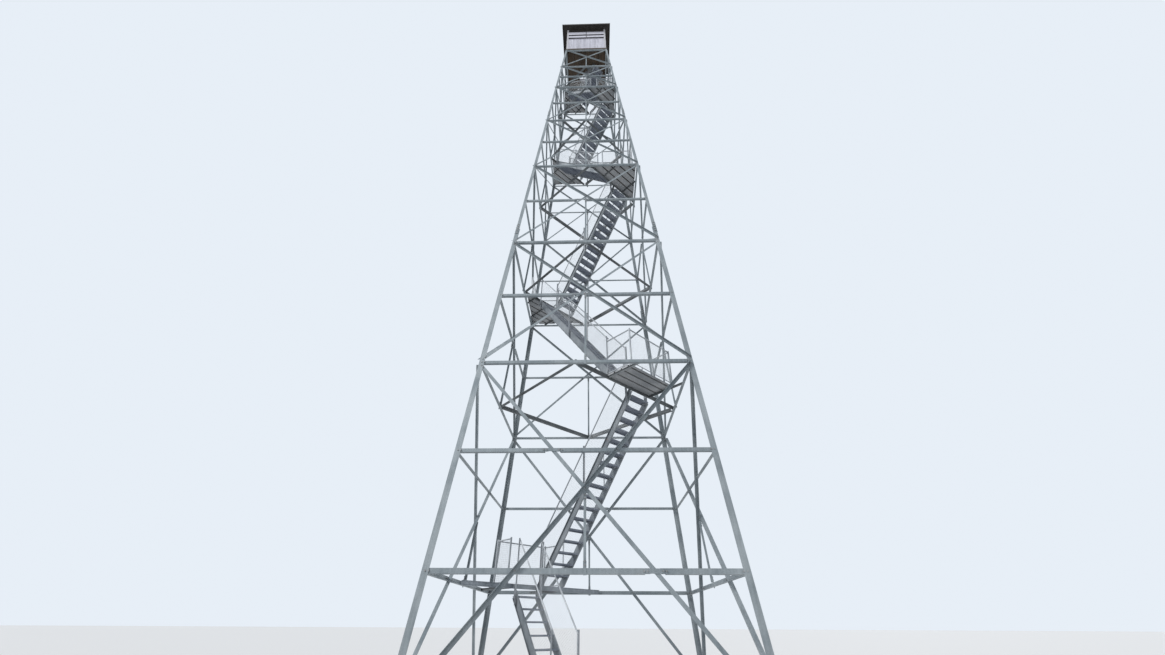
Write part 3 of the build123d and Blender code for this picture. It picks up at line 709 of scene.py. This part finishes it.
for side in sides:
    place = side_frame(side)
    drawing = place.inverted()
    bm = bmesh.new()
    lines = [flat_line(bar, drawing) for kind in ("braces", "struts") for bar in bars_of(f"{side}_{kind}")]
    for start, end, outside in lines:
        along = (end - start).normalized()
        rows = (0,) if (end - start).length < short_bar else (0, 1)
        head, nut = (bar_t, -leg_t) if outside else (0.0, -leg_t - bar_t)
        for spot, step in ((start, along), (end, -along)):
            for row in rows:
                at = spot + step * (end_room + row * bolt_pitch)
                through_bolt(bm, place, at.x, at.y, head, nut)
    for start, end, outside in lines:
        if outside:
            for x, y in crossings_of(start, end, lines):
                through_bolt(bm, place, x, y, bar_t, -leg_t - bar_t)
    piece(bm, f"bolts_{side}", bolt_zinc)

# %% [markdown]
# ## Bolts in the leg splices
# Where one leg section ends, cover plates on both outer faces carry the load across the joint. Such a
# plate has two columns of bolts. It leans with its leg, so each row is placed between the plate's foot
# and its head. The side that it lies on is the one in whose drawing it lies furthest out.

# %% Splice bolts
splice_rows, splice_inset, edge_room = 5, 0.028, 0.01
bm = bmesh.new()
for plate in bars_of("splice_plates"):
    middle = plate.middle()
    side = max(sides, key=lambda name: (side_frame(name).inverted() @ middle).z)
    place = side_frame(side)
    flat = [place.inverted() @ point for point in plate.points]
    low_y, high_y = min(point.y for point in flat), max(point.y for point in flat)
    top = max(point.z for point in flat)
    foot = sorted(point.x for point in flat if point.y < low_y + edge_room)
    head = sorted(point.x for point in flat if point.y > high_y - edge_room)
    for row in range(splice_rows):
        y = low_y + splice_inset + (high_y - low_y - 2 * splice_inset) * row / (splice_rows - 1)
        share = (y - low_y) / (high_y - low_y)
        left = foot[0] + (head[0] - foot[0]) * share + splice_inset
        far = foot[-1] + (head[-1] - foot[-1]) * share - splice_inset
        for x in (left, far):
            through_bolt(bm, place, x, y, top, -leg_t)
piece(bm, "splice_bolts", bolt_zinc)

# %% [markdown]
# ## Anchors at the feet
# Each foot plate stands on four anchor bolts. The stud comes up through the hole with a washer and a nut.
# The holes lie at the same distance from the plate's middle, which its own box gives.

# %% Anchor bolts
anchor_half, stud_r, stud_h, stud_sides = 0.14, 0.012, 0.07, 12
washer_r, washer_t, washer_sides = 0.026, 0.004, 16
nut_r, nut_h, ground_room = 0.021, 0.02, 0.001
bm = bmesh.new()
for plate in bars_of("foot_plates"):
    middle = Vector((sum(plate.span(Vector((1, 0, 0)))) / 2, sum(plate.span(Vector((0, 1, 0)))) / 2, 0))
    top = plate.span(upward)[1]
    for x in (-anchor_half, anchor_half):
        for y in (-anchor_half, anchor_half):
            foot = middle + Vector((x, y, ground_room))
            seat = Vector((foot.x, foot.y, top))
            on_washer = seat + upward * washer_t
            rod(bm, foot, seat + upward * stud_h, stud_r, stud_sides)
            rod(bm, seat, on_washer, washer_r, washer_sides)
            rod(bm, on_washer, on_washer + upward * nut_h, nut_r)
piece(bm, "anchor_bolts", bolt_zinc)

# %% [markdown]
# ## Pipes that are round
# The solids of the rails have few sides, so that the whole tower stays light to handle. For the eye they
# are made round here: each solid gives its two ends, and a pipe with sixteen sides and a slightly domed
# plug at each end takes its place.

# %% Handrails, guard rails and guard posts
pipe_sides, plug_h, plug_wide, plug_narrow = 16, 0.006, 0.95, 0.55
rail_r, post_r = 0.017, 0.024


def round_pipes(name, node, radius):
    """Round pipes in the place of a node's many-sided ones."""
    bm = bmesh.new()
    for bar in bars_of(node):
        start, end = bar.ends()
        step = (end - start).normalized() * plug_h
        rod(bm, start, end, radius, pipe_sides)
        rod(bm, start, start - step, radius * plug_wide, pipe_sides, radius * plug_narrow)
        rod(bm, end, end + step, radius * plug_wide, pipe_sides, radius * plug_narrow)
    rounded(bm)
    piece(bm, name, rail_zinc, [node])


round_pipes("handrail_pipes", "handrails", rail_r)
round_pipes("guard_rail_pipes", "guard_rails", rail_r)
round_pipes("guard_post_pipes", "guard_posts", post_r)

# %% [markdown]
# ## Feet of the guard posts
# A guard post stands on a small square plate that is bolted to the deck. The plate is turned with the
# deck, whose beam crosses the tower's corner at 45 degrees. The corner posts of the two oblong decks are
# a little longer: they stand outside the deck's edge, and a bolt through the post holds them to it.

# %% Guard post feet
guard_h, foot_half, foot_t = 1.05, 0.040, 0.008
foot_bolt, foot_head_r, foot_head_h = 0.028, 0.007, 0.008
edge_bolt_h, edge_washer_r, edge_washer_t, washer_sunk = 0.02, 0.016, 0.003, 0.002
edge_head_r, edge_head_h, round_sides = 0.011, 0.009, 12
bm = bmesh.new()
turn45 = Matrix.Rotation(radians(45), 4, "Z")
for post in bars_of("guard_posts"):
    foot, head = post.ends()
    if head.z - foot.z > guard_h + edge_bolt_h:
        outward = corner_way(foot)
        spot = foot + upward * edge_bolt_h + outward * post_r
        face = spot + outward * edge_washer_t
        rod(bm, spot - outward * washer_sunk, face, edge_washer_r, round_sides)
        rod(bm, face, face + outward * edge_head_h, edge_head_r)
        continue
    place = Matrix.Translation(foot) @ turn45
    block(bm, (-foot_half, -foot_half, 0), (foot_half, foot_half, foot_t), place)
    for x in (-foot_bolt, foot_bolt):
        for y in (-foot_bolt, foot_bolt):
            seat = place @ Vector((x, y, foot_t))
            rod(bm, seat, seat + upward * foot_head_h, foot_head_r)
piece(bm, "guard_feet", bolt_zinc)

# %% [markdown]
# ## Wire mesh on the guards
# Between deck and rail the guards are closed with square welded mesh, which from the ground reads as a
# fine grey veil. A wire is one thin rod across the whole panel, because that costs far fewer faces than a
# grid of short pieces. The wires that cross lie a wire's width behind each other, as welded mesh does.

# %% Guard mesh
mesh_pitch, wire_r, wire_sides = 0.051, 0.0016, 4
guard_drop, mesh_foot = guard_h - 2 * rail_r, 0.05
edge_bar_h, edge_bar_t = 0.025, 0.005


def wire(bm, start, end):
    """One wire of a mesh."""
    rod(bm, start, end, wire_r, wire_sides)


bm = bmesh.new()
frames = bmesh.new()
for rail in bars_of("guard_rails"):
    start, end = rail.ends()
    along = (end - start).normalized()
    behind = along.cross(upward) * 2 * wire_r
    down = upward * (mesh_foot - guard_drop)
    length = (end - start).length
    columns = max(1, round(length / mesh_pitch))
    rows = round(-down.z / mesh_pitch)
    for column in range(1, columns):
        spot = start + along * length * column / columns
        wire(bm, spot + down, spot)
    for row in range(rows):
        drop = down * (1 - row / rows)
        wire(bm, start + drop + behind, end + drop + behind)
    place = Matrix.Translation(start + down) @ turned(along, upward.cross(along), upward)
    low, high = (0, -edge_bar_t / 2, -edge_bar_h / 2), (length, edge_bar_t / 2, edge_bar_h / 2)
    block(frames, low, high, place)
piece(bm, "guard_mesh", wire_zinc)
piece(frames, "guard_mesh_edges", rail_zinc)

# %% [markdown]
# ## Wire mesh beside the stairs
# The stairs' mesh is tied to the handrail above and to the stringer below, so it slopes with them: one
# set of wires runs along the flight and the other square to it. The panel ends upright at its first and
# last post, so the cross wires near both ends are cut where they meet that upright line. The first
# flight's handrails are higher than the others, so its mesh is taller too.

# %% Stair mesh
first_drop, other_drop, first_reach = 1.100, 0.950, 2.0
bm = bmesh.new()
for rail in bars_of("handrails"):
    start, end = rail.ends()
    along = (end - start).normalized()
    side_way = along.cross(upward).normalized()
    square = side_way.cross(along)
    stair_drop = first_drop if start.z < first_reach else other_drop
    corner = start - upward * stair_drop
    length = (end - start).length
    tall, skew = stair_drop * hypot(along.x, along.y), stair_drop * along.z
    for row in range(1, ceil(tall / mesh_pitch)):
        share = row * mesh_pitch / tall
        low = corner + square * share * tall + along * share * skew + side_way * 2 * wire_r
        wire(bm, low, low + along * length)
    for column in range(1, int((length + skew) / mesh_pitch)):
        reach = column * mesh_pitch
        bottom = max(0.0, (reach - length) / skew) * tall
        top = min(1.0, reach / skew) * tall
        if top - bottom > mesh_pitch / 2:
            spot = corner + along * reach
            wire(bm, spot + square * bottom, spot + square * top)
piece(bm, "stair_mesh", wire_zinc)

# %% [markdown]
# ## Tread clips
# Each tread rests on a short angle at either end, bolted to the stringer's web. From below, where a
# visitor first sees the stairs, these clips are the small bright steps beside every tread.

# %% Clips and their bolts
clip_leg, clip_t, clip_end, tread_t = 0.036, 0.004, 0.018, 0.005
clip_bolt_r, clip_bolt_h, clip_bolt_drop = 0.009, 0.008, 0.6 * clip_leg
clip_bolt_shares = (0.3, 0.7)
bm = bmesh.new()
bolts = bmesh.new()
for number in flights:
    for tread in bars_of(f"flight_{number}_treads"):
        across = Vector((tread.axis.x, tread.axis.y, 0)).normalized()
        ahead = across.cross(upward)
        left, far = tread.span(across)
        near, deep = tread.span(ahead)
        under = tread.span(upward)[1] - tread_t
        turn = turned(ahead, across, upward)
        first, last = near + clip_end, deep - clip_end
        for edge, inward in ((left, 1), (far, -1)):
            shelf = sorted((edge, edge + inward * clip_leg))
            web = sorted((edge, edge + inward * clip_t))
            block(bm, (first, shelf[0], under - clip_t), (last, shelf[1], under), turn)
            block(bm, (first, web[0], under - clip_leg), (last, web[1], under - clip_t), turn)
            for share in clip_bolt_shares:
                bolt_x, bolt_y = near + (deep - near) * share, edge + inward * clip_t
                spot = turn @ Vector((bolt_x, bolt_y, under - clip_bolt_drop))
                rod(bolts, spot, spot + across * inward * clip_bolt_h, clip_bolt_r)
piece(bm, "tread_clips", rail_zinc)
piece(bolts, "tread_bolts", bolt_zinc)

# %% [markdown]
# ## Soft edges on the cab's timber
# Sawn posts, joists and sills never have a knife edge. Their solids are copied, merged and bevelled, and
# every solid gets its own tone, so that no two posts are the same.

# %% Bevelled timber in place of the plain solids
random.seed(7)
timber_edge, thin_edge = 0.004, 0.003


def toned(verts, tone, value):
    """Store a tone on the faces around some vertices."""
    for face in {face for vert in verts for face in vert.link_faces}:
        face[tone] = value


def dressed_timber(name, nodes, material, edge=timber_edge):
    """Bevelled copies of timber nodes, with a tone for each solid."""
    bm = bmesh.new()
    tone = bm.faces.layers.float.new("tone")
    for node in nodes:
        copy = merged(node)
        mesh = bpy.data.meshes.new("copy")
        copy.to_mesh(mesh)
        copy.free()
        bm.from_mesh(mesh)
        bpy.data.meshes.remove(mesh)
    bm.verts.index_update()
    for group in loose_parts(bm):
        toned(group, tone, random.random())
    bevelled(bm, edge)
    piece(bm, name, material, nodes)


joist_nodes = ["cab_joists", "cab_rim_joists", "hatch_trimmers"]
dressed_timber("corner_posts", ["cab_corner_posts"], post_paint)
dressed_timber("window_sills", ["cab_sills"], board_paint)
dressed_timber("floor_joists", joist_nodes, joist_wood)
dressed_timber("dark_headers", ["cab_headers"], eave_trim_and_shade)
dressed_timber("dark_mullions", ["window_mullions"], eave_trim_and_shade, thin_edge)
dressed_timber("eave_boards", ["roof_fascia"], eave_trim_and_shade)

# %% [markdown]
# ## Boards on the walls
# The low walls are clad with narrow upright boards whose joints show as fine dark lines. Each board is a
# block with bevelled edges in front of a plain lining. One wall is worked out and the others are the same
# wall turned about the tower's axis.

# %% Wall boards
board_w, board_gap, cladding_t, lining_tone = 0.0885, 0.004, 0.019, 0.4
low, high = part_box("cab_wall_front")
count = round((high.x - low.x) / board_w)
step = (high.x - low.x) / count
cladding_y = low.y + cladding_t
for side, angle in sides.items():
    bm = bmesh.new()
    tone = bm.faces.layers.float.new("tone")
    for number in range(count):
        x = low.x + number * step
        start, end = x + board_gap / 2, x + step - board_gap / 2
        toned(block(bm, (start, low.y, low.z), (end, cladding_y, high.z)), tone, random.random())
    bevelled(bm, thin_edge)
    toned(block(bm, (low.x, cladding_y, low.z), high), tone, lining_tone)
    bm.transform(Matrix.Rotation(radians(angle), 4, "Z"))
    piece(bm, f"wall_boards_{side}", wall_paint, [f"cab_wall_{side}"])

# %% [markdown]
# ## Boards across the windows
# Two rows of boards close most of each window opening, and each row is split in front of the middle post.
# The front and back ones have their grain along X and the side ones along Y, so they are two pieces with
# a finish each.

# %% Window boards
shutters = {"front_back": (board_paint, lambda point: abs(point.y) > abs(point.x)),
            "left_right": (side_paint, lambda point: abs(point.x) >= abs(point.y))}
for name, (material, wanted) in shutters.items():
    bm = merged("window_boards")
    tone = bm.faces.layers.float.new("tone")
    for group in loose_parts(bm):
        middle = sum((vert.co for vert in group), Vector()) / len(group)
        if wanted(middle):
            toned(group, tone, random.random())
        else:
            bmesh.ops.delete(bm, geom=group, context="VERTS")
    bevelled(bm, timber_edge)
    piece(bm, f"shutter_boards_{name}", material, ["window_boards"])

# %% [markdown]
# ## A board floor from its material
# The floor has the hatch cut through it, and its solid already has the right shape, so its boards are
# drawn in the material: a ramp over the board's own width makes the dark joint, and a random grey for
# each board number makes its tone.

# %% Floor finish
floor_board, joint_share, joint_depth, floor_grain_depth = 0.14, 0.025, 0.004, 0.0012


def floor_boards(name, dark, light, width):
    """A finish with boards of a width along Y, drawn over X."""
    finish = Finish(name, roughness=0.8)
    x = finish.axis_part(finish.stretched((1 / width, 1.0, 1.0)), "X")
    chance = finish.nodes.new("ShaderNodeTexWhiteNoise")
    chance.noise_dimensions = "1D"
    finish.links.new(finish.maths("FLOOR", x), chance.inputs["W"])
    grain = finish.noise((grain_across, grain_along, grain_across), detail=6.0, rough=0.6)
    colour = finish.ramp(grain, (0.33, dark), (0.66, light))
    board = finish.ramp(chance.outputs["Value"], (0.0, 0.65), (1.0, 1.15))
    colour = finish.mix(0.9, colour, board, "MULTIPLY")
    edges = ((0.0, 0.0), (joint_share, 1.0), (1.0 - joint_share, 1.0), (1.0, 0.0))
    joint = finish.ramp(finish.maths("FRACT", x), *edges)
    colour = finish.mix(0.85, colour, joint, "MULTIPLY")
    finish.bump(joint, joint_depth)
    finish.bump(grain, floor_grain_depth)
    return finish.done(colour)


floor_wood = floor_boards("floor_wood", (0.050, 0.034, 0.022), (0.135, 0.095, 0.064), floor_board)
coat(["cab_floor"], floor_wood)

# %% [markdown]
# ## Ceiling boards
# The ceiling is a plain slab with no hole in it, so it is built from real boards that fill its box.

# %% Ceiling boards
ceiling_board, ceiling_gap = 0.12, 0.002
low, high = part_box("cab_ceiling")
bm = bmesh.new()
tone = bm.faces.layers.float.new("tone")
count = round((high.x - low.x) / ceiling_board)
step = (high.x - low.x) / count
for number in range(count):
    x = low.x + number * step
    start, end = x + ceiling_gap / 2, x + step - ceiling_gap / 2
    toned(block(bm, (start, low.y, low.z), (end, high.y, high.z)), tone, random.random())
bevelled(bm, timber_edge)
# The ceiling boards take the eave finish, whose near-black tone is partly painted shade.
piece(bm, "ceiling_boards", eave_trim_and_shade, ["cab_ceiling"])

# %% [markdown]
# ## A dark metal roof
# The roof is dark sheet metal, chalked and here and there rusted by the weather. Its solids are right as
# they are and only change their material.

# %% Roof finish
chalk_scale, roof_rust_scale, dent_scale, dent_depth = 2.2, 5.0, 3.0, 0.004


def dark_sheet(name):
    """Dark painted sheet metal, chalked by the weather."""
    finish = Finish(name, roughness=0.5, metallic=0.2)
    chalk = finish.noise(chalk_scale, detail=6.0)
    colour = finish.ramp(chalk, (0.3, (0.050, 0.052, 0.055)), (0.7, (0.105, 0.105, 0.108)))
    spots = finish.noise(roof_rust_scale, detail=9.0, rough=0.7)
    rust = finish.ramp(spots, (0.62, 0.0), (0.78, 0.6))
    colour = finish.mix(rust, colour, rust_brown)
    finish.bump(finish.noise(dent_scale, detail=2.0), dent_depth)
    return finish.done(colour, finish.ramp(chalk, (0.3, 0.62), (0.7, 0.42)))


roof_paint = dark_sheet("roof_paint")
coat(["cab_roof", "roof_cap"], roof_paint)

# %% [markdown]
# ## Standing seams on the roof
# The roof's sheets meet in upright seams that run up each slope until they reach a hip, and a rolled cap
# covers every hip. A seam's length follows from where it starts on the eave, because the slope is a
# triangle.

# %% Roof seams and hips
seam_pitch, seam_h, seam_t, seam_start = 0.38, 0.022, 0.008, 0.004
hip_r, hip_sides, hip_in, hip_lift, peak_lift, top_gap = 0.020, 10, 0.01, 0.012, 0.008, 0.14
low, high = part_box("cab_roof")
roof_half, rise = high.x, high.z - low.z
slope_length = hypot(rise, roof_half)
up_slope = Vector((0, roof_half, rise)) / slope_length
off_slope = Vector((0, -rise, roof_half)) / slope_length
tilt = turned(Vector((1, 0, 0)), up_slope, off_slope)
corner = Vector((-roof_half + hip_in, -roof_half + hip_in, low.z + hip_lift))
peak_z = high.z - rise * top_gap / 2 / roof_half + peak_lift
peak = Vector((-top_gap / 2, -top_gap / 2, peak_z))
seams_each_way = ceil(roof_half / seam_pitch) - 1
bm = bmesh.new()
hips = bmesh.new()
for angle in sides.values():
    turn = Matrix.Rotation(radians(angle), 4, "Z")
    for number in range(-seams_each_way, seams_each_way + 1):
        x = number * seam_pitch
        run = (roof_half - max(abs(x) + hip_r, top_gap)) / roof_half * slope_length
        place = turn @ Matrix.Translation((x, -roof_half, low.z)) @ tilt
        block(bm, (-seam_t / 2, seam_start, 0), (seam_t / 2, run, seam_h), place)
    rod(hips, turn @ corner, turn @ peak, hip_r, hip_sides)
bevelled(bm, seam_t / 4)
rounded(hips)
piece(bm, "roof_seams", roof_paint)
piece(hips, "roof_hips", roof_paint)

# %% [markdown]
# The box of the dressed tower is measured over every shown object, leaving out the floor. The dressed
# tower has to stay inside the box of its solids.

# %% Measure the dressed tower's box
low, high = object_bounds()
